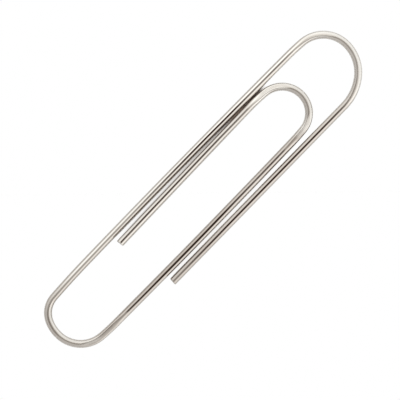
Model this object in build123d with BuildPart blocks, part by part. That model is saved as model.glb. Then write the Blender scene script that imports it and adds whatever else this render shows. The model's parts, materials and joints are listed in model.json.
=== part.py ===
"""A paper clip: one length of round steel wire, bent into two nested loops, flat but for the tongue's tip.

The wire runs from the end of the outer leg over the crown, down the long leg, round the heel, up
the inner leg and over the tongue to the end of the tongue leg. It is cut into named lengths: four
legs, and two halves of each bend. A bend is halved at its apex, where the wire runs along X, so the
two sides of a bend twist about the wire's own axis and stay joined as the clip opens.

X is across the clip, Y along it towards the crown, Z up. The origin is under the middle of the clip.
"""
import os
from math import atan, cos, degrees, radians, sin

from build123d import *

# Wire and outline, in millimetres
wire_diameter = 0.95
clip_length = 50.0
clip_width = 10.12

# Where the legs and the tongue lie inside that outline
legs_gap = 0.40
tongue_gap = 0.09
tongue_setback = 8.09

# Legs are not dead straight: two bow outwards, and three stray sideways from bend to end
long_leg_bow = 0.08
inner_leg_bow = 0.085
inner_leg_stray = 0.07
outer_leg_stray = 0.05
tongue_leg_stray = 0.345

# Where the two ends of the wire stop, from the outside of the heel, and how they are cut
outer_end_setback = 14.6
tongue_end_setback = 13.45
end_rounding = 0.12
end_cut_angle = 5.0  # degrees off square

# The tongue arm is sprung up out of the clip's plane, so that paper finds its way under the tip
tongue_lift_angle = 1.0  # degrees

# How far the apex of each bend lies from the clip's middle line
crown_apex_shift = -0.48
heel_apex_shift = -0.77
tongue_apex_shift = -0.13

# Most legs ease into their bend on a wide arc. Angles are in degrees
entry_radius = 30.0
entry_angle = 5.0

# The crown comes off the outer leg on a sloping shoulder
shoulder_radius = 6.0
shoulder_angle = 37.0

# The heel draws the long leg in slowly, turns a tight corner and has a flatter sole
heel_draw_radius = 120.0
heel_draw_angle = 3.4
heel_corner_radius = 2.9
heel_corner_angle = 62.6

# Centreline of the wire where each leg meets its bend
wire_radius = wire_diameter / 2
crown_y = clip_length / 2 - wire_radius
heel_y = -crown_y
tongue_y = crown_y - tongue_setback
outer_leg_x = clip_width / 2 - wire_radius - outer_leg_stray
long_leg_x = -clip_width / 2 + wire_radius + long_leg_bow
inner_leg_x = outer_leg_x - wire_diameter - legs_gap
tongue_inner_x = inner_leg_x - inner_leg_stray
tongue_leg_x = long_leg_x + wire_diameter + tongue_gap
outer_end_y = -clip_length / 2 + outer_end_setback
tongue_end_y = -clip_length / 2 + tongue_end_setback

crown_apex = Vector(crown_apex_shift, crown_y, wire_radius)
heel_apex = Vector(heel_apex_shift, heel_y, wire_radius)
tongue_apex = Vector(tongue_apex_shift, tongue_y, wire_radius)
quarter_turn = 90.0


def to_apex(leg_x, apex, *arcs):
    """Arcs of a half bend, as radius and angle, with the one that lands on the apex added last."""
    heading = 0.0
    covered = 0.0
    for radius, angle in arcs:
        covered += radius * (cos(radians(heading)) - cos(radians(heading + angle)))
        heading += angle
    apex_radius = (abs(leg_x - apex.X) - covered) / cos(radians(heading))
    return [*arcs, (apex_radius, quarter_turn - heading)]


def depth(arcs):
    """How far along Y a half bend of these arcs reaches."""
    heading = 0.0
    reached = 0.0
    for radius, angle in arcs:
        reached += radius * (sin(radians(heading + angle)) - sin(radians(heading)))
        heading += angle
    return reached


def slope(rise, run):
    return degrees(atan(rise / run))


def half_bend(apex, leg_x, upward, arcs, lean):
    """Half of a bend, from its apex to the leg at leg_x, and the wire's centreline through it.

    upward is 1 where the bend closes the top of a loop and -1 where it closes the bottom. The arc
    that meets the leg turns on by the leg's lean, so a leg with a positive lean closes in.
    """
    side = 1 if leg_x > apex.X else -1
    swing = -side * upward
    first_radius, first_angle = arcs[0]
    with BuildPart() as bend:
        with BuildLine() as path:
            start = apex
            heading = Vector(side, 0, 0)
            for radius, angle in reversed([(first_radius, first_angle + lean), *arcs[1:]]):
                arc = JernArc(start, heading, radius, swing * angle)
                start = arc @ 1
                heading = arc % 1
        with BuildSketch(Plane(origin=path.line @ 0, z_dir=path.line % 0)):
            Circle(wire_radius)
        sweep()
    return bend.part, path.line


def leg_between(bend_line, other_line):
    """The leg that joins two bends, on the gentle curve that meets both without a kink."""
    start = bend_line @ 1
    end = other_line @ 1
    third = (end - start).length / 3
    with BuildPart() as leg:
        with BuildLine():
            Bezier(start, start + (bend_line % 1) * third, end + (other_line % 1) * third, end)
        with BuildSketch(Plane(origin=start, z_dir=bend_line % 1)):
            Circle(wire_radius)
        sweep()
    return leg.part


def free_leg(bend_line, end_y, cut_angle):
    """The straight leg from a bend to a free end, which is cut off square but for the cut angle."""
    start = bend_line @ 1
    heading = bend_line % 1
    length = (end_y - start.Y) / heading.Y
    end = start + heading * length
    cut_normal = heading.rotate(Axis.Z, cut_angle)
    with BuildPart() as leg:
        with BuildSketch(Plane(origin=start, z_dir=heading)):
            Circle(wire_radius)
        extrude(amount=length + wire_diameter)
        split(bisect_by=Plane(origin=end, z_dir=cut_normal), keep=Keep.BOTTOM)
        cut_face = leg.faces().sort_by(Axis(start, heading))[-1]
        fillet(cut_face.edges(), end_rounding)
    return leg.part


# Arcs of the six half bends, from the leg to the apex
entry = (entry_radius, entry_angle)
shoulder = (shoulder_radius, shoulder_angle)
heel_draw = (heel_draw_radius, heel_draw_angle)
heel_corner = (heel_corner_radius, heel_corner_angle)
crown_outer_arcs = to_apex(outer_leg_x, crown_apex, shoulder)
crown_long_arcs = to_apex(long_leg_x, crown_apex, entry)
heel_long_arcs = to_apex(long_leg_x, heel_apex, heel_draw, heel_corner)
heel_inner_arcs = to_apex(inner_leg_x, heel_apex, entry)
tongue_inner_arcs = to_apex(tongue_inner_x, tongue_apex, entry)
tongue_free_arcs = to_apex(tongue_leg_x, tongue_apex, entry)

# How each leg leans where it meets its bend
outer_run = crown_y - depth(crown_outer_arcs) - outer_end_y
long_run = crown_y - depth(crown_long_arcs) - heel_y - depth(heel_long_arcs)
inner_run = tongue_y - depth(tongue_inner_arcs) - heel_y - depth(heel_inner_arcs)
tongue_run = tongue_y - depth(tongue_free_arcs) - tongue_end_y
outer_lean = -slope(outer_leg_stray, outer_run)
long_lean = -slope(4 * long_leg_bow, long_run)
inner_bow_lean = -slope(4 * inner_leg_bow, inner_run)
inner_stray_lean = slope(inner_leg_stray, inner_run)
tongue_lean = slope(tongue_leg_stray, tongue_run)

# Outer arm: the crown's outer half and the leg that ends beside the inner leg
crown_outer_bend, crown_outer_line = half_bend(crown_apex, outer_leg_x, 1, crown_outer_arcs, outer_lean)
outer_leg = free_leg(crown_outer_line, outer_end_y, -end_cut_angle)

# Long side: the crown's other half, the long leg and the heel's first half
crown_long_bend, crown_long_line = half_bend(crown_apex, long_leg_x, 1, crown_long_arcs, long_lean)
heel_long_bend, heel_long_line = half_bend(heel_apex, long_leg_x, -1, heel_long_arcs, long_lean)
long_leg = leg_between(crown_long_line, heel_long_line)

# Inner side: the heel's second half, the inner leg and the tongue's first half
heel_inner_lean = inner_bow_lean + inner_stray_lean
tongue_inner_lean = inner_bow_lean - inner_stray_lean
heel_inner_bend, heel_inner_line = half_bend(
    heel_apex, inner_leg_x, -1, heel_inner_arcs, heel_inner_lean
)
tongue_inner_bend, tongue_inner_line = half_bend(
    tongue_apex, tongue_inner_x, 1, tongue_inner_arcs, tongue_inner_lean
)
inner_leg = leg_between(heel_inner_line, tongue_inner_line)

# Tongue arm: the tongue's other half and the leg that ends beside the long leg, turned up about the apex
tongue_free_bend, tongue_free_line = half_bend(tongue_apex, tongue_leg_x, 1, tongue_free_arcs, tongue_lean)
tongue_leg = free_leg(tongue_free_line, tongue_end_y, end_cut_angle)
tongue_axis = Axis(tongue_apex, Vector(1, 0, 0))
tongue_free_bend = tongue_free_bend.rotate(tongue_axis, -tongue_lift_angle)
tongue_leg = tongue_leg.rotate(tongue_axis, -tongue_lift_angle)

pieces = {
    "outer_leg": outer_leg,
    "crown_outer_bend": crown_outer_bend,
    "crown_long_bend": crown_long_bend,
    "long_leg": long_leg,
    "heel_long_bend": heel_long_bend,
    "heel_inner_bend": heel_inner_bend,
    "inner_leg": inner_leg,
    "tongue_inner_bend": tongue_inner_bend,
    "tongue_free_bend": tongue_free_bend,
    "tongue_leg": tongue_leg,
}
os.makedirs("parts", exist_ok=True)
for label, piece in pieces.items():
    piece.label = label
    export_step(piece, f"parts/{label}.step")
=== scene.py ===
# %% [markdown]
# # A bright paper clip
#
# The real clip is one length of plated steel wire, bent flat by a forming machine in a single stroke.
# This lesson gives it its looks: a smooth round wire swept along the bends, a plated finish with the
# marks of drawing and bending and with painted shade and highlights, and the white tent that small bright
# metal is photographed in.
#
# The packed model comes first. It is the fixed frame: it says where every leg and bend lies, and nothing
# here moves it.

# %% Load the frame
import json
from math import atan, ceil, cos, degrees, radians, sin, tan

import bmesh
import bpy
from mathutils import Matrix, Vector


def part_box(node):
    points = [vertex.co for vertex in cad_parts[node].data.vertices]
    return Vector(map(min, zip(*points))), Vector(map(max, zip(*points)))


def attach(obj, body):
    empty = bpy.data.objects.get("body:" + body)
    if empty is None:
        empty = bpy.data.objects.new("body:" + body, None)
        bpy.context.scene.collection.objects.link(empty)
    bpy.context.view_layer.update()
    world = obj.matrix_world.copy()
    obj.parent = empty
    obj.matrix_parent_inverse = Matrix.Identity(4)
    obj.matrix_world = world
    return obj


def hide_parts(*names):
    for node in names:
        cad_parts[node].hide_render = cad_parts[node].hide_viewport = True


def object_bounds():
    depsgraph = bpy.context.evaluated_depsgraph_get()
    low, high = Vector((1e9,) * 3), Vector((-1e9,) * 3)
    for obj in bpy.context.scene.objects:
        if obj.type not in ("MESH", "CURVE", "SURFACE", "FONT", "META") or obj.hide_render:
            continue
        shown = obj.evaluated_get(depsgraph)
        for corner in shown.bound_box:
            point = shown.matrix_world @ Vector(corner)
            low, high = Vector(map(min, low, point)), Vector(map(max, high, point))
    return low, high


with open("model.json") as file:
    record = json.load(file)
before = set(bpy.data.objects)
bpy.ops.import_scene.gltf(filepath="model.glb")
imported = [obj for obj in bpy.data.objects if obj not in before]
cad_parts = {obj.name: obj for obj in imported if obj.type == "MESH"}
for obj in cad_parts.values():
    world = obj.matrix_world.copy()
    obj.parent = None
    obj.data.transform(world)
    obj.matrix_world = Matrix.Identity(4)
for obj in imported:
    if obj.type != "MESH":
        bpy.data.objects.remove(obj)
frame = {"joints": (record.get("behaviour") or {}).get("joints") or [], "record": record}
cad_low, cad_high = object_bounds()
apexes = {joint["name"]: Vector(joint["pos_m"]) for joint in frame["joints"]}
crown, heel, tongue = apexes["crown_flex"], apexes["heel_flex"], apexes["tongue_flex"]
scene = bpy.context.scene
scene.view_settings.view_transform = "Standard"


def in_mm(lengths, digits=2):
    """Lengths in millimetres, rounded for printing."""
    return [round(length * 1000, digits) for length in lengths]


print("clip box in mm:", in_mm(Vector(cad_high) - Vector(cad_low)))
for joint_name, apex_place in apexes.items():
    print(joint_name, "has its apex at", in_mm(apex_place, 3), "mm")

# %% [markdown]
# ## Sizes
#
# The wire's thickness, the clip's outline and the apex of each bend are read off the frame, so they can't
# drift from the solid model. Only what a box can't tell is written out, in metres and degrees: the gaps
# between legs, the radius and angle of each arc, and how the two ends of the wire are cut. A hand-sized
# clip is never quite straight, so two legs bow outwards by less than a tenth of a millimetre and three
# stray sideways on their way. The tongue's free arm is sprung up by one degree, so that paper finds its
# way under the tip.

# %% Where each leg meets its bend
leg_low, leg_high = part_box("long_leg")
wire_radius = (leg_high.z - leg_low.z) / 2
wire_diameter = 2 * wire_radius
legs_gap = 0.00040
tongue_gap = 0.00009
long_leg_bow = 0.00008
inner_leg_bow = 0.000085
inner_leg_stray = 0.00007
outer_leg_stray = 0.00005
tongue_leg_stray = 0.000345
outer_leg_x = cad_high[0] - wire_radius - outer_leg_stray
long_leg_x = cad_low[0] + wire_radius + long_leg_bow
inner_leg_x = outer_leg_x - wire_diameter - legs_gap
tongue_inner_x = inner_leg_x - inner_leg_stray
tongue_leg_x = long_leg_x + wire_diameter + tongue_gap
print("wire diameter in mm:", *in_mm([wire_diameter], 3))
print("leg lines in mm:", in_mm((long_leg_x, tongue_leg_x, inner_leg_x, outer_leg_x), 3))

# %% The bends, as radius and angle, and the cut ends
entry = (0.030, 5.0)
shoulder = (0.006, 37.0)
heel_draw = (0.120, 3.4)
heel_corner = (0.0029, 62.6)
outer_end_setback = 0.0146
tongue_end_setback = 0.01345
outer_end_y = cad_low[1] + outer_end_setback
tongue_end_y = cad_low[1] + tongue_end_setback
end_rounding = 0.00012
end_cut_angle = 5.0
tongue_lift_angle = 1.0
quarter_turn = 90.0
print("the wire's ends lie at y, in mm:", in_mm((outer_end_y, tongue_end_y)))

# %% [markdown]
# ## The bending programme
#
# A wire former works from a list: feed this far, bend this far at this radius, feed again. The path is
# written the same way. It could be a list of hundreds of points, but a Bezier curve needs only the ends
# of each arc: a circle's arc of up to 45 degrees is drawn by two handles of the right length, to within a
# hair. The last arc before each apex isn't chosen, it is worked out, because it has to land on the apex.

# %% Feed and bend
widest_arc = 45.0


class Station:
    """A place on the wire's middle line, its heading there, and how long the handles on both sides are."""

    def __init__(self, place, heading, before=0.0, after=0.0):
        self.place = Vector(place)
        self.heading = Vector(heading)
        self.before = before
        self.after = after


class WirePath:
    """The middle line of a length of wire, as a list of Bezier stations."""

    def __init__(self, stations):
        self.stations = list(stations)

    def go_on(self, place, heading, handle):
        """Add a station, with the same handle at both ends of the stretch that leads to it."""
        self.stations[-1].after = handle
        self.stations.append(Station(place, heading, before=handle))

    def feed_to(self, end_y):
        """Go straight on to a place along Y."""
        last = self.stations[-1]
        length = (end_y - last.place.y) / last.heading.y
        self.go_on(last.place + last.heading * length, last.heading, length / 3)

    def bend(self, radius, turn):
        """Follow an arc. A turn is to the left where it is positive."""
        parts = ceil(abs(turn) / widest_arc)
        step = Matrix.Rotation(radians(turn / parts), 3, "Z")
        side = 1 if turn > 0 else -1
        handle = 4 / 3 * tan(radians(abs(turn) / parts) / 4) * radius
        for part in range(parts):
            last = self.stations[-1]
            centre = last.place + Vector((-last.heading.y, last.heading.x, 0.0)) * radius * side
            self.go_on(centre + step @ (last.place - centre), step @ last.heading, handle)

    def turned_round(self):
        """The same line from its other end."""
        return WirePath(Station(at.place, -at.heading, at.after, at.before) for at in reversed(self.stations))

    def turned_up(self, angle, apex):
        """The same line, turned up out of its plane about the apex that it starts from."""
        turn = Matrix.Rotation(radians(-angle), 3, "X")
        return WirePath(
            Station(apex + turn @ (at.place - apex), turn @ at.heading, at.before, at.after)
            for at in self.stations
        )

    def joined(self, other):
        """This line, a gentle curve on from its end, and the other line from its end to its start."""
        back = other.turned_round()
        leaving, arriving = self.stations[-1], back.stations[0]
        leaving.after = arriving.before = (arriving.place - leaving.place).length / 3
        return WirePath(self.stations + back.stations)


trial = WirePath([Station((0, 0, 0), (1, 0, 0))])
trial.bend(*entry)
print("an entry arc on its own leads to", in_mm(trial.stations[-1].place, 3), "mm")


# %% Work out the six half bends
def to_apex(leg_x, apex, *arcs):
    """Arcs of a half bend from its leg on, with the one that lands on the apex added last."""
    heading = 0.0
    covered = 0.0
    for radius, angle in arcs:
        covered += radius * (cos(radians(heading)) - cos(radians(heading + angle)))
        heading += angle
    apex_radius = (abs(leg_x - apex.x) - covered) / cos(radians(heading))
    return [*arcs, (apex_radius, quarter_turn - heading)]


crown_outer_arcs = to_apex(outer_leg_x, crown, shoulder)
crown_long_arcs = to_apex(long_leg_x, crown, entry)
heel_long_arcs = to_apex(long_leg_x, heel, heel_draw, heel_corner)
heel_inner_arcs = to_apex(inner_leg_x, heel, entry)
tongue_inner_arcs = to_apex(tongue_inner_x, tongue, entry)
tongue_free_arcs = to_apex(tongue_leg_x, tongue, entry)
landing_arcs = (crown_outer_arcs[-1], heel_long_arcs[-1], tongue_free_arcs[-1])
print("radii at the crown, heel and tongue in mm:", in_mm(radius for radius, angle in landing_arcs))


# %% Work out how each leg leans where it meets its bend
def depth(arcs):
    """How far along Y a half bend reaches."""
    heading = 0.0
    reached = 0.0
    for radius, angle in arcs:
        reached += radius * (sin(radians(heading + angle)) - sin(radians(heading)))
        heading += angle
    return reached


def slope(rise, run):
    """The angle of a rise over a run, in degrees."""
    return degrees(atan(rise / run))


def bow_slope(bow, run):
    """How a leg leans at its ends where it bows by this much in the middle."""
    return slope(4 * bow, run)


outer_run = crown.y - depth(crown_outer_arcs) - outer_end_y
long_run = crown.y - depth(crown_long_arcs) - heel.y - depth(heel_long_arcs)
inner_run = tongue.y - depth(tongue_inner_arcs) - heel.y - depth(heel_inner_arcs)
tongue_run = tongue.y - depth(tongue_free_arcs) - tongue_end_y
outer_lean = -slope(outer_leg_stray, outer_run)
long_lean = -bow_slope(long_leg_bow, long_run)
inner_bow_lean = -bow_slope(inner_leg_bow, inner_run)
inner_stray_lean = slope(inner_leg_stray, inner_run)
heel_inner_lean = inner_bow_lean + inner_stray_lean
tongue_inner_lean = inner_bow_lean - inner_stray_lean
tongue_lean = slope(tongue_leg_stray, tongue_run)
print("leans in degrees:", [round(lean, 2) for lean in (outer_lean, long_lean, heel_inner_lean, tongue_lean)])

# %% Draw the four stretches between the apexes
top_of_loop = 1
bottom_of_loop = -1


def half_bend(apex, leg_x, upward, arcs, lean):
    """A half bend from its apex to its leg. The arc at the leg turns on by the leg's lean."""
    side = 1 if leg_x > apex.x else -1
    path = WirePath([Station(apex, (side, 0, 0))])
    first_radius, first_angle = arcs[0]
    for radius, angle in reversed([(first_radius, first_angle + lean), *arcs[1:]]):
        path.bend(radius, -side * upward * angle)
    return path


outer_arm_path = half_bend(crown, outer_leg_x, top_of_loop, crown_outer_arcs, outer_lean)
outer_arm_path.feed_to(outer_end_y + end_rounding)
outer_arm_path = outer_arm_path.turned_round()

crown_long = half_bend(crown, long_leg_x, top_of_loop, crown_long_arcs, long_lean)
heel_long = half_bend(heel, long_leg_x, bottom_of_loop, heel_long_arcs, long_lean)
long_side_path = crown_long.joined(heel_long)

heel_inner = half_bend(heel, inner_leg_x, bottom_of_loop, heel_inner_arcs, heel_inner_lean)
tongue_inner = half_bend(tongue, tongue_inner_x, top_of_loop, tongue_inner_arcs, tongue_inner_lean)
inner_side_path = heel_inner.joined(tongue_inner)

tongue_arm_path = half_bend(tongue, tongue_leg_x, top_of_loop, tongue_free_arcs, tongue_lean)
tongue_arm_path.feed_to(tongue_end_y + end_rounding)
tongue_arm_path = tongue_arm_path.turned_up(tongue_lift_angle, tongue)
print("the tongue's tip stands", *in_mm([tongue_arm_path.stations[-1].place.z - wire_radius]), "mm proud")

# %% Turn a path into a curve
curve_steps = 32


def curve_object(name, path):
    """A Bezier curve through the path's stations, and its length."""
    data = bpy.data.curves.new(name, "CURVE")
    data.dimensions = "3D"
    data.resolution_u = curve_steps
    spline = data.splines.new("BEZIER")
    spline.bezier_points.add(len(path.stations) - 1)
    for point, at in zip(spline.bezier_points, path.stations):
        point.handle_left_type = point.handle_right_type = "FREE"
        point.co = at.place
        point.handle_left = at.place - at.heading * at.before
        point.handle_right = at.place + at.heading * at.after
    made = bpy.data.objects.new(name, data)
    scene.collection.objects.link(made)
    length = spline.calc_length()
    print(name, "is", *in_mm([length]), "mm long, from", len(path.stations), "stations")
    return made, length


# %% [markdown]
# ## One helper for every node tree
#
# Geometry Nodes and shaders are both trees of nodes. Wiring them by hand in Python gets long, so one
# small class wraps a socket: adding or multiplying two of them adds the Math node, and one method makes
# any other node. The same class serves the wire's shape, its finish and the light.


# %% Wrap a socket
class Flow:
    """A socket of a node tree, so that a sum or product of sockets reads as one in Python."""

    def __init__(self, tree, socket=None):
        self.tree = tree
        self.socket = socket

    def node(self, kind, settings, sockets, output=0):
        """Any node, by its type, its settings, and the values or links of its sockets."""
        made = self.tree.nodes.new(kind)
        for name, value in settings.items():
            setattr(made, name, value)
        for key, value in sockets.items():
            if isinstance(value, Flow):
                self.tree.links.new(value.socket, made.inputs[key])
            else:
                made.inputs[key].default_value = value
        return Flow(self.tree, made.outputs[output]) if made.outputs else made

    def sister(self, output):
        """Another output of the same node."""
        return Flow(self.tree, self.socket.node.outputs[output])

    def math(self, operation, *values):
        """A Math node."""
        return self.node("ShaderNodeMath", {"operation": operation}, dict(enumerate(values)))

    def through(self, operation):
        """This value through a Math node that takes one value."""
        return self.math(operation, self)

    def vector(self, operation, sockets, output="Vector"):
        """A Vector Math node."""
        return self.node("ShaderNodeVectorMath", {"operation": operation}, sockets, output)

    def fade(self, low, high):
        """0 below low, 1 above high, and smooth between them."""
        ends = {"Value": self, "From Min": low, "From Max": high}
        return self.node("ShaderNodeMapRange", {"interpolation_type": "SMOOTHSTEP"}, ends)

    def band(self, start, full, ebbing, end):
        """0 outside start and end, 1 from full to ebbing, and smooth between them."""
        return self.fade(start, full) * (1 - self.fade(ebbing, end))

    def colours(self, first, second):
        """The first colour where this share is 0 and the second where it is 1."""
        # A Mix node numbers its two colours 6 and 7, and their mix is output 2.
        return self.node("ShaderNodeMix", {"data_type": "RGBA"}, {0: self, 6: first, 7: second}, 2)

    def shaders(self, first, second):
        """The first shader where this share is 0 and the second where it is 1."""
        return self.node("ShaderNodeMixShader", {}, {0: self, 1: first, 2: second})

    def __abs__(self):
        return self.through("ABSOLUTE")

    def __add__(self, other):
        return self.math("ADD", self, other)

    def __radd__(self, other):
        return self.math("ADD", other, self)

    def __sub__(self, other):
        return self.math("SUBTRACT", self, other)

    def __rsub__(self, other):
        return self.math("SUBTRACT", other, self)

    def __mul__(self, other):
        return self.math("MULTIPLY", self, other)

    def __rmul__(self, other):
        return self.math("MULTIPLY", other, self)

    def __truediv__(self, other):
        return self.math("DIVIDE", self, other)

    def __rtruediv__(self, other):
        return self.math("DIVIDE", other, self)


print("Flow has", len([name for name in vars(Flow) if name.startswith("__r")]), "reflected operators")

# %% [markdown]
# ## The finish: bright plated wire
#
# The wire is drawn through a die, plated with a thin warm-grey metal and then bent. The marks of that
# show up close. The die leaves fine lines along the wire. The plating is a little uneven, in patches
# about as long as the wire is thick. Where the wire is bent its skin stretches, and the mirror turns to
# satin.
#
# A pattern in plain object space would run across the wire as the wire turns. The wire carries its own
# straightened coordinates instead, stored by the sweep below: X and Y round the wire and Z along it.

# %% Plated wire
plated = bpy.data.materials.new("plated_wire")
plated.use_nodes = True
plated.node_tree.nodes.clear()
plating = Flow(plated.node_tree)


def stored_on_wire(name, output):
    """What the sweep and the cut store on the wire under this name."""
    return plating.node("ShaderNodeAttribute", {"attribute_name": name}, {}, output)


def streaks(across, along, detail):
    """Noise with this many marks to the metre across and along the wire."""
    stretch = plating.vector("MULTIPLY", {0: place, 1: (across, across, along)})
    return plating.node("ShaderNodeTexNoise", {}, {"Vector": stretch, "Scale": 1.0, "Detail": detail})


place = stored_on_wire("wire_place", "Vector")
strain = stored_on_wire("bend_strain", "Fac")
cut = stored_on_wire("cut_face", "Fac")
die_lines = streaks(across=9000.0, along=120.0, detail=3.0)
patches = streaks(across=700.0, along=420.0, detail=2.0)
pits = streaks(across=5200.0, along=4300.0, detail=2.0).fade(0.66, 0.74)
skin = strain.fade(0.005, 0.09)
print("die lines, patches, pits and satin skin take", len(plated.node_tree.nodes), "nodes")

# %% [markdown]
# ### The plating's colour
#
# The colour swings slowly along the wire from a bright plate to a darker one, with the patches on top.
# The darker stretches are painted shade, darkest on the outer and inner legs, which catch less light.
# One flat colour would look like plastic. The two plate colours are dark for a white metal because a
# mirror shows its surroundings at their full strength.

# %% Bright plate, and a darker plate painted as shade
full_turn = radians(360.0)
shade_swing_length = 0.098
most_shaded = 0.015
along_wire = plating.node("ShaderNodeSeparateXYZ", {}, {"Vector": place}, "Z")
shade_swing_angle = (along_wire - most_shaded) * (full_turn / shade_swing_length)
shade_swing = 0.5 + 0.5 * shade_swing_angle.through("COSINE")

bright_plate = (0.690, 0.653, 0.602, 1.0)
# The darker plate colour is painted shade, strongest on the outer and inner legs.
shaded_plate = (0.538, 0.489, 0.443, 1.0)
patch_share = 0.15
tone = shade_swing * (1 - patch_share) + patches.fade(0.40, 0.75) * patch_share
patchy_and_shaded = tone.colours(bright_plate, shaded_plate)
print("the plating swings from dull to bright and back in", *in_mm([shade_swing_length]), "mm")

# %% [markdown]
# ### Painted shade and painted highlights
#
# The plate is painted darker and browner where the wire mirrors a dark gap or the shade between legs,
# mostly inside the loops: painted shade and painted reflection. It is painted brighter where the wire
# mirrors the bright tent, mostly outside: painted highlights. These could be painted on a picture wrapped
# round the wire. Here each one is a mark from one place along the wire to another, on one side of it,
# fading out at both ends, so it stays on the metal wherever the wire goes.

# %% The sides of the wire, and one mark on a side
out_of_loop = along_wire.sister("X") / wire_radius
into_loop = 0 - out_of_loop
inside = into_loop.fade(0.25, 0.80)
inner_edge = into_loop.fade(0.50, 0.74)
flank_streak = into_loop.band(0.40, 0.58, 0.72, 0.92)
inner_streak = into_loop.band(0.00, 0.24, 0.42, 0.64)
crest = 1 - abs(out_of_loop).fade(0.15, 0.50)
shoulder_streak = out_of_loop.band(0.03, 0.27, 0.42, 0.64)
twin_streaks = shoulder_streak + inner_streak
outside = out_of_loop.fade(0.50, 0.74)
outer_edge = out_of_loop.fade(0.70, 0.95)
all_round = 1.0


def mark(strength, side, start, full, ebbing, end):
    """A mark on one side of one stretch of the wire, fading out at both ends."""
    return strength * side * along_wire.band(start, full, ebbing, end)


def all_marks(rows):
    """The sum of a table of marks, one to a row."""
    first, *others = [mark(*row) for row in rows]
    return sum(others, first)


print("the sides take the finish to", len(plated.node_tree.nodes), "nodes")

# %% Where shade is painted on the wire
# Painted shade and painted dark reflections: the plate turns darker and browner where the wire mirrors dark
# gaps.
painted_shade_plate = (0.290, 0.240, 0.200, 1.0)
# A row is a mark's strength, its side, and where it starts, is full, ebbs and ends.
shade_marks = (
    (0.90, inside, 0.0515, 0.0575, 0.0720, 0.0780),
    (0.40, inside, 0.0720, 0.0780, 0.0870, 0.0910),
    (0.35, inside, 0.0985, 0.1020, 0.1280, 0.1320),
    (0.30, inside, 0.1430, 0.1480, 0.1660, 0.1700),
    (0.35, outside, 0.0405, 0.0450, 0.0900, 0.0930),
    (0.40, outer_edge, 0.1480, 0.1520, 0.1640, 0.1680),
    (0.45, outside, 0.1235, 0.1270, 0.1310, 0.1335),
    (0.90, crest, 0.1040, 0.1085, 0.1165, 0.1200),
    (0.40, crest, 0.0870, 0.0888, 0.0905, 0.0920),
    (0.55, crest, 0.1278, 0.1290, 0.1300, 0.1308),
    (0.30, flank_streak, 0.0960, 0.0970, 0.1000, 0.1030),
    (0.35, flank_streak, 0.1307, 0.1317, 0.1327, 0.1338),
    (0.60, flank_streak, 0.1390, 0.1404, 0.1424, 0.1440),
    (0.22, all_round, -0.0010, 0.0000, 0.0040, 0.0110),
    (0.15, all_round, 0.1000, 0.1025, 0.1040, 0.1090),
)
with_painted_shade = all_marks(shade_marks).colours(patchy_and_shaded, painted_shade_plate)
print("the plating is thin in", len(shade_marks), "places")

# %% Where highlights are painted on the wire
# Painted highlights: the plate turns brighter where the wire mirrors the bright tent.
painted_highlight_plate = (0.920, 0.893, 0.842, 1.0)
highlight_marks = (
    (0.90, shoulder_streak, 0.0420, 0.0470, 0.0815, 0.0865),
    (0.12, all_round, 0.0270, 0.0330, 0.0390, 0.0430),
    (0.45, outside, 0.1100, 0.1150, 0.1220, 0.1260),
    (0.40, all_round, 0.1308, 0.1319, 0.1326, 0.1338),
    (0.60, twin_streaks, 0.1301, 0.1308, 0.1316, 0.1325),
    (0.65, crest, 0.0936, 0.0950, 0.0960, 0.0974),
    (0.40, all_round, 0.1395, 0.1410, 0.1422, 0.1436),
    (0.55, inner_streak, 0.1372, 0.1390, 0.1422, 0.1438),
    (0.50, inner_streak, 0.0395, 0.0412, 0.0445, 0.0465),
    (0.30, crest, 0.0315, 0.0335, 0.0355, 0.0370),
    (0.40, inner_edge, 0.0040, 0.0080, 0.0130, 0.0180),
)
with_painted_highlights = all_marks(highlight_marks).colours(with_painted_shade, painted_highlight_plate)
print("it is burnished in", len(highlight_marks), "places")

# %% [markdown]
# ### Pits and bare ends
#
# Small pits in the plating show the steel below. The two ends are cut after plating, so their faces are
# bare steel too. The cut below marks those faces with an attribute, and the finish reads it.

# %% Pits, and the bare steel of the cut ends
steel_colour = (0.42, 0.40, 0.38, 1.0)
pit_share = 0.25
pitted = (pits * pit_share).colours(with_painted_highlights, steel_colour)
colour = cut.colours(pitted, steel_colour)
print("the colour takes the finish to", len(plated.node_tree.nodes), "nodes")

# %% [markdown]
# ### The polish
#
# Drawn wire is never dead straight or truly round. It waves along its length, by hundredths of a
# millimetre from leg to leg and by less than half a millimetre over the whole of it, and some stretches
# are faintly oval. So the dark line that each leg mirrors wanders, fades and comes back. To bend the legs
# themselves would open gaps that the real clip doesn't have. A Bump node only tilts the mirror, which is
# enough.

# %% How rough it is
leg_roughness = 0.05
bend_roughness = 0.12
line_roughness = 0.04
patch_roughness = 0.03
cut_roughness = 0.25
roughness = leg_roughness + bend_roughness * skin + line_roughness * (die_lines - 0.5)
roughness = roughness + patch_roughness * patches.fade(0.4, 0.8) + cut_roughness * cut
print("a leg has roughness", leg_roughness, "and a bend", round(leg_roughness + bend_roughness, 2))

# %% How it waves, by wavelength, height and where each wave rises through zero
waves = (
    (0.2000, 0.000424, 0.1970),
    (0.1000, 0.000039, 0.0817),
    (0.0667, 0.000060, 0.0408),
    (0.0500, 0.000014, 0.0322),
)
slow_lift = 0.0
for wave_length, wave_height, rises_at in waves:
    wave_angle = (along_wire - rises_at) * (full_turn / wave_length)
    slow_lift = slow_lift + wave_height * wave_angle.through("SINE")
steepest = max(slope(full_turn * height, length) for length, height, start in waves)
print(len(waves), "waves tilt the mirror by up to", round(steepest, 2), "degrees each")

# %% How it bows, by height and by where each bow starts and ends
bows = (
    (0.000047, 0.1230, 0.1330),
    (-0.000093, 0.1400, 0.1680),
)
for bow_height, bow_start, bow_end in bows:
    slow_lift = slow_lift + bow_height * along_wire.fade(bow_start, bow_end)
dip = (0.0000199, all_round, 0.0440, 0.0496, 0.0496, 0.0560)
slow_lift = slow_lift - mark(*dip)
print(len(bows), "bows and one dip follow")

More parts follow.
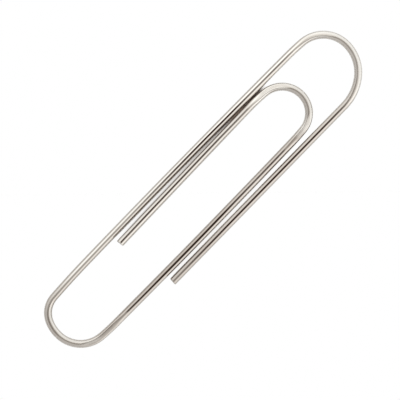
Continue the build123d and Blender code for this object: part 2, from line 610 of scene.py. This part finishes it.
# %% How it leans where it is oval
oval_marks = (
    (0.055, all_round, 0.0560, 0.0600, 0.0720, 0.0770),
    (-0.060, all_round, 0.0770, 0.0800, 0.0850, 0.0900),
    (0.055, all_round, 0.0980, 0.1040, 0.1130, 0.1180),
    (-0.035, all_round, 0.1170, 0.1200, 0.1290, 0.1310),
    (0.085, all_round, 0.1440, 0.1490, 0.1590, 0.1690),
    (0.035, all_round, -0.0010, 0.0000, 0.0060, 0.0100),
)
slow_lift = slow_lift + all_marks(oval_marks) * along_wire.sister("X")
lifted = plating.node("ShaderNodeBump", {}, {"Strength": 1.0, "Distance": 1.0, "Height": slow_lift})
print(len(oval_marks), "stretches lean")

# %% Join them in one shader
fine_height = 0.000001
fine_strength = 0.4
patch_relief = 0.6
pit_relief = 0.8
relief = die_lines + patch_relief * patches - pit_relief * pits
fine = {"Strength": fine_strength, "Distance": fine_height, "Height": relief, "Normal": lifted}
bump = plating.node("ShaderNodeBump", {}, fine)
metal = {"Base Color": colour, "Metallic": 1.0, "Roughness": roughness, "Normal": bump}
shell = plating.node("ShaderNodeBsdfPrincipled", {}, metal)
plating.node("ShaderNodeOutputMaterial", {}, {"Surface": shell})
print("plated_wire has", len(plated.node_tree.nodes), "nodes")

# %% [markdown]
# ## The sweep
#
# A round wire is a circle swept along a line, so Geometry Nodes make it: the curve goes in, and the tree
# works out how far along the wire each point lies and how hard the wire is bent there. Bend strain is the
# wire's radius over the bend's, taken from how fast the heading turns. It is blurred over a millimetre or
# so, because metal doesn't change from mirror to satin at a line.

# %% Build the tree
sweep = bpy.data.node_groups.new("bent_wire", "GeometryNodeTree")
face = sweep.interface
face.new_socket("Path", in_out="INPUT", socket_type="NodeSocketGeometry")
inputs = {}
for label, kind in (
    ("Wire radius", "NodeSocketFloat"),
    ("Sides", "NodeSocketInt"),
    ("Ring step", "NodeSocketFloat"),
    ("Start along", "NodeSocketFloat"),
    ("Pressed before", "NodeSocketFloat"),
    ("Pressed after", "NodeSocketFloat"),
    ("Pressed late", "NodeSocketFloat"),
    ("Finish", "NodeSocketMaterial"),
):
    inputs[label] = face.new_socket(label, in_out="INPUT", socket_type=kind).identifier
face.new_socket("Wire", in_out="OUTPUT", socket_type="NodeSocketGeometry")

wire = Flow(sweep)
given = wire.node("NodeGroupInput", {}, {}, "Path")
radius_in = given.sister("Wire radius")
print("bent_wire takes a path and", ", ".join(inputs))

# %% How far along and how hard it is bent
blur_steps = 40
almost_nothing = 1e-9
spot = wire.node("GeometryNodeSplineParameter", {}, {}, "Length")
along = given.sister("Start along") + spot
heading_here = wire.node("GeometryNodeInputTangent", {}, {})
spot_here = wire.node("GeometryNodeInputPosition", {}, {})
index = wire.node("GeometryNodeInputIndex", {}, {})
last_index = wire.node("GeometryNodeSplineLength", {}, {}, "Point Count") - 1


def beside(vector, step):
    """A vector at the next or the last point of the curve, or at its own where the curve ends."""
    settings = {"data_type": "FLOAT_VECTOR", "domain": "POINT"}
    kept = index.math("MINIMUM", index.math("MAXIMUM", index + step, 0.0), last_index)
    return wire.node("GeometryNodeFieldAtIndex", settings, {"Index": kept, "Value": vector})


def change(vector):
    """How much a vector changes from the point before to the point after."""
    gap = wire.vector("SUBTRACT", {0: beside(vector, 1), 1: beside(vector, -1)})
    return wire.vector("LENGTH", {0: gap}, "Value")


turning = change(heading_here) / (change(spot_here) + almost_nothing)
blurred = {0: turning * radius_in, "Iterations": blur_steps}
strain_here = wire.node("GeometryNodeBlurAttribute", {"data_type": "FLOAT"}, blurred)
print("bend strain takes the tree to", len(sweep.nodes), "nodes")


# %% Store it on the line
def stored(geometry, name, kind, value):
    """The geometry with a value stored on each point, under a name."""
    settings = {"data_type": kind, "domain": "POINT"}
    sockets = {"Geometry": geometry, "Name": name, "Value": value}
    return wire.node("GeometryNodeStoreNamedAttribute", settings, sockets)


up = (0.0, 0.0, 1.0)
outward_here = wire.vector("CROSS_PRODUCT", {0: heading_here, 1: up})
to_go = wire.node("GeometryNodeSplineLength", {}, {}, "Length") - spot
pressing = (
    given.sister("Pressed before") * to_go.band(0.0020, 0.0034, 0.0055, 0.0080)
    + given.sister("Pressed after") * spot.band(0.0008, 0.0024, 0.0050, 0.0075)
    + given.sister("Pressed late") * spot.band(0.0026, 0.0042, 0.0075, 0.0100)
)
line = wire.node("GeometryNodeSetCurveNormal", {"mode": "Z_UP"}, {"Curve": given})
evenly = {"Curve": line, "Length": given.sister("Ring step")}
line = wire.node("GeometryNodeResampleCurve", {"mode": "LENGTH"}, evenly)
line = stored(line, "along", "FLOAT", along)
line = stored(line, "bend_strain", "FLOAT", strain_here)
line = stored(line, "middle", "FLOAT_VECTOR", spot_here)
line = stored(line, "outward", "FLOAT_VECTOR", outward_here)
line = stored(line, "pressing", "FLOAT", pressing)
print("the line takes the tree to", len(sweep.nodes), "nodes")


# %% Sweep the circle and straighten its coordinates
def named(name, kind="FLOAT"):
    """A stored value, read back by its name."""
    return wire.node("GeometryNodeInputNamedAttribute", {"data_type": kind}, {"Name": name}, "Attribute")


round_profile = {"Resolution": given.sister("Sides"), "Radius": radius_in}
ring = wire.node("GeometryNodeCurvePrimitiveCircle", {}, round_profile)
ring = stored(ring, "around", "FLOAT", wire.node("GeometryNodeSplineParameter", {}, {}, "Factor"))
swept_ring = {"Curve": line, "Profile Curve": ring, "Fill Caps": True}
tube = wire.node("GeometryNodeCurveToMesh", {}, swept_ring)
turn_round = named("around") * full_turn
straightened = {
    "X": radius_in * turn_round.through("COSINE"),
    "Y": radius_in * turn_round.through("SINE"),
    "Z": named("along"),
}
straightened = wire.node("ShaderNodeCombineXYZ", {}, straightened)
tube = stored(tube, "wire_place", "FLOAT_VECTOR", straightened)
print("the sweep takes the tree to", len(sweep.nodes), "nodes")

# %% [markdown]
# ### Pressed flats
#
# Each bend is pressed round a pin, and the tool leaves a flat on the wire's top to one or both sides of
# the apex, less than a tenth of a millimetre deep. It is the reason why a bend shows broad bands where a
# leg shows a line. Any point of the sweep that stands past a plane, tilted a little to the outside of the
# bend, is drawn back to that plane.

# %% Press the flats
flat_half_angle = radians(33.0)
flat_tilt = radians(12.0)
from_middle = wire.vector("SUBTRACT", {0: spot_here, 1: named("middle", "FLOAT_VECTOR")})
upwards = wire.node("ShaderNodeSeparateXYZ", {}, {"Vector": from_middle}, "Z")
outwards = wire.vector("DOT_PRODUCT", {0: from_middle, 1: named("outward", "FLOAT_VECTOR")}, "Value")
toward_flat = (upwards * cos(flat_tilt) + outwards * sin(flat_tilt)) / radius_in
kept_share = cos(flat_half_angle) / toward_flat.math("MAXIMUM", toward_flat, cos(flat_half_angle))
pushed = wire.vector("SCALE", {0: from_middle, "Scale": (kept_share - 1) * named("pressing")})
tube = wire.node("GeometryNodeSetPosition", {}, {"Geometry": tube, "Offset": pushed})
print("the flats are up to", *in_mm([wire_radius * (1 - cos(flat_half_angle))], 3), "mm deep")

# %% Clear away the scaffold and give it its finish
for scaffold in ("along", "around", "middle", "outward", "pressing"):
    tube = wire.node("GeometryNodeRemoveAttribute", {}, {"Geometry": tube, "Name": scaffold})
tube = wire.node("GeometryNodeSetShadeSmooth", {}, {"Geometry": tube, "Shade Smooth": True})
tube = wire.node("GeometryNodeRealizeInstances", {}, {"Geometry": tube})
tube = wire.node("GeometryNodeSetMaterial", {}, {"Geometry": tube, "Material": given.sister("Finish")})
wire.node("NodeGroupOutput", {}, {"Wire": tube})
print("bent_wire has", len(sweep.nodes), "nodes and", len(inputs), "inputs")

# %% [markdown]
# ## Four stretches of wire
#
# The clip flexes at the crown, the heel and the tongue, so the wire is made in the four stretches between
# them, and each stretch rides on its own body. At an apex the wire runs along the hinge's axis: both
# stretches end there in the same circle, and stay closed however far the clip is opened. A sharp edge
# round that circle keeps the caps inside from tilting the normals, so no seam shows.

# %% Sweep one stretch
ring_sides = 48
ring_step = 0.0002
sharp_angle = radians(40.0)


def swept_wire(name, path, start_along, pressed_before=0.0, pressed_after=0.0, pressed_late=0.0):
    """A plain mesh swept along the path, and how far along the wire it ends."""
    source, length = curve_object(name + "_path", path)
    sweeping = source.modifiers.new("Sweep", "NODES")
    sweeping.node_group = sweep
    for label, value in (
        ("Wire radius", wire_radius),
        ("Sides", ring_sides),
        ("Ring step", ring_step),
        ("Start along", start_along),
        ("Pressed before", pressed_before),
        ("Pressed after", pressed_after),
        ("Pressed late", pressed_late),
        ("Finish", plated),
    ):
        sweeping[inputs[label]] = value
    bpy.context.view_layer.update()
    solid = source.evaluated_get(bpy.context.evaluated_depsgraph_get())
    mesh = bpy.data.meshes.new_from_object(solid)
    mesh.name = name
    source.modifiers.remove(sweeping)
    bpy.data.objects.remove(source)
    mesh.set_sharp_from_angle(angle=sharp_angle)
    made = bpy.data.objects.new(name, mesh)
    scene.collection.objects.link(made)
    print(name, "has", len(mesh.vertices), "vertices and", len(mesh.polygons), "faces")
    return made, start_along + length


# %% Sweep all four
outer_arm, reached = swept_wire("outer_arm_wire", outer_arm_path, end_rounding, pressed_before=0.5)
long_side, reached = swept_wire("long_side_wire", long_side_path, reached, pressed_after=0.7)
inner_side, reached = swept_wire(
    "inner_side_wire", inner_side_path, reached, pressed_before=0.95, pressed_late=0.9
)
tongue_arm, reached = swept_wire("tongue_arm_wire", tongue_arm_path, reached, pressed_after=1.0)
print("the whole wire is", *in_mm([reached + end_rounding], 1), "mm long")

# %% [markdown]
# ## The cut ends
#
# A shear nips the wire off, and tumbling takes the sharpness off the rim. So neither end is quite square:
# the face leans a few degrees, its rim is rounded, and its middle is slightly hollow where the steel
# tore. The sweep stops short by the rounding and leaves a flat cap. Insetting that cap again and again,
# each time a little further in and less far forward, draws the quarter circle of the rim. Two more insets
# work the face itself.

# %% Round and hollow an end
rim_steps = 8
face_insets = ((0.15, 0.0), (0.45, 0.00001))


def round_and_hollow(work, cap):
    """Round the cap's rim, then inset its face by shares of its radius, each with a drop."""
    angles = [radians(quarter_turn * step / rim_steps) for step in range(rim_steps + 1)]
    for near, far in zip(angles, angles[1:]):
        inward = end_rounding * (cos(near) - cos(far))
        forward = end_rounding * (sin(far) - sin(near))
        bmesh.ops.inset_individual(work, faces=[cap], thickness=inward, depth=forward)
    face_radius = wire_radius - end_rounding
    for share, drop in face_insets:
        bmesh.ops.inset_individual(work, faces=[cap], thickness=face_radius * share, depth=-drop)
    bmesh.ops.poke(work, faces=[cap])


print("a rim is rounded in", rim_steps, "steps")

# %% Lean it, and mark its bare face
bare_from = 0.9 * end_rounding


def cut_end(piece, end_y, cut_angle):
    """Turn the flat cap nearest to end_y into a cut end."""
    mesh = piece.data
    work = bmesh.new()
    work.from_mesh(mesh)
    place_layer = work.verts.layers.float_vector["wire_place"]
    cut_layer = work.verts.layers.float.new("cut_face")
    caps = [cap for cap in work.faces if len(cap.verts) == ring_sides]
    cap = min(caps, key=lambda cap: abs(cap.calc_center_median().y - end_y))
    middle = cap.calc_center_median()
    outward = cap.normal.copy()
    end_along = cap.verts[0][place_layer].z
    rim = set(cap.verts)
    swept = set(work.verts)
    round_and_hollow(work, cap)

    added = set(work.verts) - swept
    for vert in added:
        past_rim = (vert.co - middle).dot(outward)
        vert[place_layer] = (vert.co.x - middle.x, vert.co.z - middle.z, end_along + past_rim)
        vert[cut_layer] = 1.0 if past_rim > bare_from else 0.0
    for vert in added | rim:
        vert.co -= outward * tan(radians(cut_angle)) * (vert.co.x - middle.x)
    work.normal_update()
    work.to_mesh(mesh)
    work.free()
    mesh.set_sharp_from_angle(angle=sharp_angle)
    print(piece.name, "is cut at", *in_mm([end_y]), "mm and has", len(mesh.polygons), "faces")


cut_end(outer_arm, outer_end_y, -end_cut_angle)
cut_end(tongue_arm, tongue_end_y, end_cut_angle)

# %% Each stretch rides on its body and stands for its solids
for piece, body in (
    (outer_arm, "outer_arm"),
    (long_side, "long_side"),
    (inner_side, "inner_side"),
    (tongue_arm, "tongue_arm"),
):
    nodes = frame["record"]["behaviour"]["bodies"][body]
    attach(piece, body)
    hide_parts(*nodes)
    print(piece.name, "stands for", ", ".join(nodes))

# %% [markdown]
# ## The table
#
# The clip lies on white paper that fills the view. Strong lamps could make the paper white, but they
# would burn out the metal. So the paper only holds the clip's shade, partly lit and partly painted, and in
# the open the lens sees clean white through it. Ambient occlusion, the share of sky that a spot sees, tells
# the open from the narrow gaps between legs. There the paper is painted dark and warm: painted shade, and
# painted light that came off the wire.
# Paper isn't flat white either: it has a faint tooth.

# %% White paper
tooth_scale = 900.0
pale_tooth = (0.90, 0.90, 0.90, 1.0)
dark_tooth = (0.87, 0.87, 0.87, 1.0)
painted_gap_shade = (0.235, 0.130, 0.092, 1.0)
sky_samples = 48
sky_reach = 0.002
paper = bpy.data.materials.new("white_paper")
paper.use_nodes = True
paper.node_tree.nodes.clear()
page = Flow(paper.node_tree)
page_place = page.node("ShaderNodeTexCoord", {}, {}, "Object")
tooth = page.node("ShaderNodeTexNoise", {}, {"Vector": page_place, "Scale": tooth_scale, "Detail": 2.0})
white = tooth.colours(pale_tooth, dark_tooth)
overhead = page.node("ShaderNodeAmbientOcclusion", {"samples": sky_samples}, {"Distance": sky_reach}, "AO")
# The paper's colour is painted darker and browner in the narrow gaps: painted shade.
crevice = 1 - overhead.fade(0.11, 0.30)
shaded = crevice.colours(white, painted_gap_shade)
matt = {"Base Color": shaded, "Roughness": 1.0, "Specular IOR Level": 0.0}
dull = page.node("ShaderNodeBsdfPrincipled", {}, matt)
print("the matt paper takes", len(paper.node_tree.nodes), "nodes")

# %% [markdown]
# ### Shade beside the tongue
#
# The tongue's leg stands a little off the paper, so its shade falls on one side of it, which occlusion
# can't tell. In the wedge between the long leg and the tongue's bend the paper goes darkest of all where
# the wires come closest, and is paler just below. Lamps could cast these, but they would also show in the
# mirror of every leg. So they are soft marks on the paper, laid along the lines of the two legs. Each one
# counts only where the sky is hidden, and is gone when the wire is lifted.

# %% Where that shade lies
page_x = page.node("ShaderNodeSeparateXYZ", {}, {"Vector": page_place}, "X")
page_y = page_x.sister("Y")
edge_slope = tongue_leg_stray / tongue_run
edge_start = tongue_leg_x - wire_radius + edge_slope * (tongue_end_y + tongue_run)
past_edge = page_x + edge_slope * page_y - edge_start
tongue_near = 1 - overhead.fade(0.50, 0.62)
beside_tongue = past_edge.band(-0.00024, -0.00002, 0.00005, 0.00025) * tongue_near
beside_tongue = beside_tongue * page_y.band(-0.0125, -0.0060, 0.0020, 0.0070)

past_long = page_x - (long_leg_x + wire_radius)
bend_near = 1 - overhead.fade(0.30, 0.40)
in_wedge = past_long.band(-0.0003, -0.0002, 0.0004, 0.0006) * bend_near
beside_long = in_wedge * (1 - past_long.fade(0.00008, 0.00026))
deep_wedge = beside_long * page_y.band(0.0112, 0.0121, 0.0131, 0.0139)
pale_wedge = in_wedge * page_y.band(0.0078, 0.0090, 0.0099, 0.0109)
print("the tongue leg's edge leaves the long leg by", *in_mm([edge_slope * tongue_run], 3), "mm")


# %% What the paper can show
def glowing(colour):
    """A plain colour that needs no light."""
    return page.node("ShaderNodeEmission", {}, {"Color": colour, "Strength": 1.0})


plain_white = (1.0, 1.0, 1.0, 1.0)
clean_white = glowing(plain_white)
warm_white = glowing((1.0, 0.915, 0.825, 1.0))
tongue_shade = glowing((0.150, 0.110, 0.085, 1.0))
wedge_shade = glowing((0.020, 0.011, 0.008, 1.0))
sheer = page.node("ShaderNodeBsdfTransparent", {}, {"Color": plain_white})
print("the colours of the gaps take the paper to", len(paper.node_tree.nodes), "nodes")

# %% A warm gap, and clean white in the open
tongue_share = 0.55
pale_share = 0.90
deep_share = 0.85
mirrored_share = 0.05
ray = page.node("ShaderNodeLightPath", {}, {}, "Is Camera Ray")
mirrored = ray.sister("Is Glossy Ray") + ray.sister("Is Transmission Ray")
in_the_open = overhead.fade(0.15, 0.335)
# In the gaps the paper glows warm white: painted light that came off the wire.
gap_white = overhead.fade(0.20, 0.34).shaders(warm_white, clean_white)
shaded_gap = (tongue_share * beside_tongue).shaders(gap_white, tongue_shade)
open_gap = (ray * in_the_open).shaders(dull, shaded_gap)
pale_gap = (pale_share * ray * pale_wedge).shaders(open_gap, tongue_shade)
in_gaps = (deep_share * ray * deep_wedge).shaders(pale_gap, wedge_shade)
clear = ray * overhead.fade(0.335, 0.345) * (1 - beside_tongue.fade(0.0, 0.02))
seen = clear.shaders(in_gaps, sheer)
top = (mirrored_share * mirrored * in_the_open).shaders(seen, clean_white)
page.node("ShaderNodeOutputMaterial", {}, {"Surface": top})
print("white_paper has", len(paper.node_tree.nodes), "nodes")

# %% Lay the paper
table_half = 2.0
table_mesh = bpy.data.meshes.new("table")
sides = ((-1, -1), (1, -1), (1, 1), (-1, 1))
corners = [(side_x * table_half, side_y * table_half, 0) for side_x, side_y in sides]
table_mesh.from_pydata(corners, [], [(0, 1, 2, 3)])
table_mesh.materials.append(paper)
table = bpy.data.objects.new("table", table_mesh)
scene.collection.objects.link(table)
print("the table is", table_half * 2, "m across")

# %% [markdown]
# ## The light tent
#
# Bright metal shows nothing but its surroundings, so it is photographed inside a tent of white cloth.
# Lamps could stand outside and the cloth be modelled, but a cloth lit from behind is only a soft glow
# that differs from side to side, so the world gives it: brighter and cooler towards the crown, brighter
# at the sides and in two corners, dimmer and warmer overhead. A dark slit at the very top is where the
# lens looks in. That slit is the dark line along the middle of every leg. Only the lens itself sees a
# plain white world, through the paper. Below the paper the cloth is dimmer, so that an arm of the clip
# which is bent down past the paper still stands out.

# %% The cloth's glow
tent = bpy.data.worlds.new("light_tent")
tent.use_nodes = True
tent.node_tree.nodes.clear()
scene.world = tent
cloth = Flow(tent.node_tree)
toward = cloth.node("ShaderNodeTexCoord", {}, {}, "Generated")
toward_x = cloth.node("ShaderNodeSeparateXYZ", {}, {"Vector": toward}, "X")
toward_y = toward_x.sister("Y")
toward_z = toward_x.sister("Z")

heel_glow = 0.82
crown_glow = 0.565
panel_glow = 0.18
right_panel_glow = 0.24
horizon_dim = 0.38
crown_horizon_glow = 0.45
glow = heel_glow + crown_glow * toward_y.fade(-0.35, 0.50)
panel_side = abs(toward_x).fade(0.30, 0.70)
panel_ends = 1 - abs(toward_y).fade(0.20, 0.60)
panels = panel_side * panel_ends * (panel_glow + right_panel_glow * toward_x.fade(-0.3, 0.3))
near_horizon = 1 - toward_z.fade(0.0, 0.40)
horizon = 1 - near_horizon * (horizon_dim - crown_horizon_glow * toward_y.fade(0.2, 0.8))
below = 1 - toward_z.fade(-0.20, 0.0)
print("the cloth's glow takes", len(tent.node_tree.nodes), "nodes")


# %% Bright corners, dim top and lens slit
def patch(x, y, full, end):
    """1 round one direction of the sky, fading out."""
    off_x = toward_x - x
    off_y = toward_y - y
    off = (off_x * off_x + off_y * off_y).through("SQRT")
    return 1 - off.fade(full, end)


dim_top = patch(0.0, -0.10, 0.10, 0.85)
left_corner = patch(-0.42, 0.20, 0.14, 0.48)
front_corner = patch(0.20, -0.42, 0.08, 0.30)
left_glow = 0.38
front_glow = 0.22
bright_corners = left_glow * left_corner + front_glow * front_corner
slit_y = 0.005
slit_length = 1 - abs(toward_x).fade(0.24, 0.64)
slit = slit_length * (1 - abs(toward_y - slit_y).fade(0.018, 0.052))
top_dimming = 0.48
below_dimming = 0.45
open_sky = (glow + panels + bright_corners) * horizon
brightness = open_sky * (1 - top_dimming * dim_top) * (1 - below_dimming * below)
print("the corners and the slit take the tent to", len(tent.node_tree.nodes), "nodes")

# %% Tint the cloth and show the lens plain white
cool_tint = (0.962, 1.0, 1.016, 1.0)
warm_tint = (1.0, 0.970, 0.930, 1.0)
slit_brown = (0.060, 0.020, 0.007, 1.0)
cool = (toward_y.fade(0.10, 0.50) + left_corner).colours(plain_white, cool_tint)
warm = dim_top.colours(cool, warm_tint)
tint = slit.colours(warm, slit_brown)
lit = cloth.node("ShaderNodeBackground", {}, {"Color": tint, "Strength": brightness})
backdrop = cloth.node("ShaderNodeBackground", {}, {"Color": plain_white, "Strength": 1.0})
by_lens = cloth.node("ShaderNodeLightPath", {}, {}, "Is Camera Ray")
cloth.node("ShaderNodeOutputWorld", {}, {"Surface": by_lens.shaders(lit, backdrop)})
print("light_tent has", len(tent.node_tree.nodes), "nodes")

# %% [markdown]
# ## The camera
#
# The photograph looks straight down on the clip, which lies at 45.6 degrees in the picture. A long lens
# well above the table keeps the legs parallel.

# %% Look straight down
camera_height = 0.400
frame_width = 0.047947
sensor_width = 36.0
clip_tilt = 45.6
above_x, above_y = 0.000072, -0.00110
camera_data = bpy.data.cameras.new("camera")
camera_data.sensor_width = sensor_width
camera_data.lens = sensor_width * camera_height / frame_width
camera = bpy.data.objects.new("camera", camera_data)
camera.location = (above_x, above_y, wire_radius + camera_height)
camera.rotation_euler = (0.0, 0.0, radians(quarter_turn - clip_tilt))
scene.collection.objects.link(camera)
scene.camera = camera
print("lens in mm:", round(camera_data.lens, 1))

# %% [markdown]
# ## The size
#
# The looks must not change the clip's dimensions.
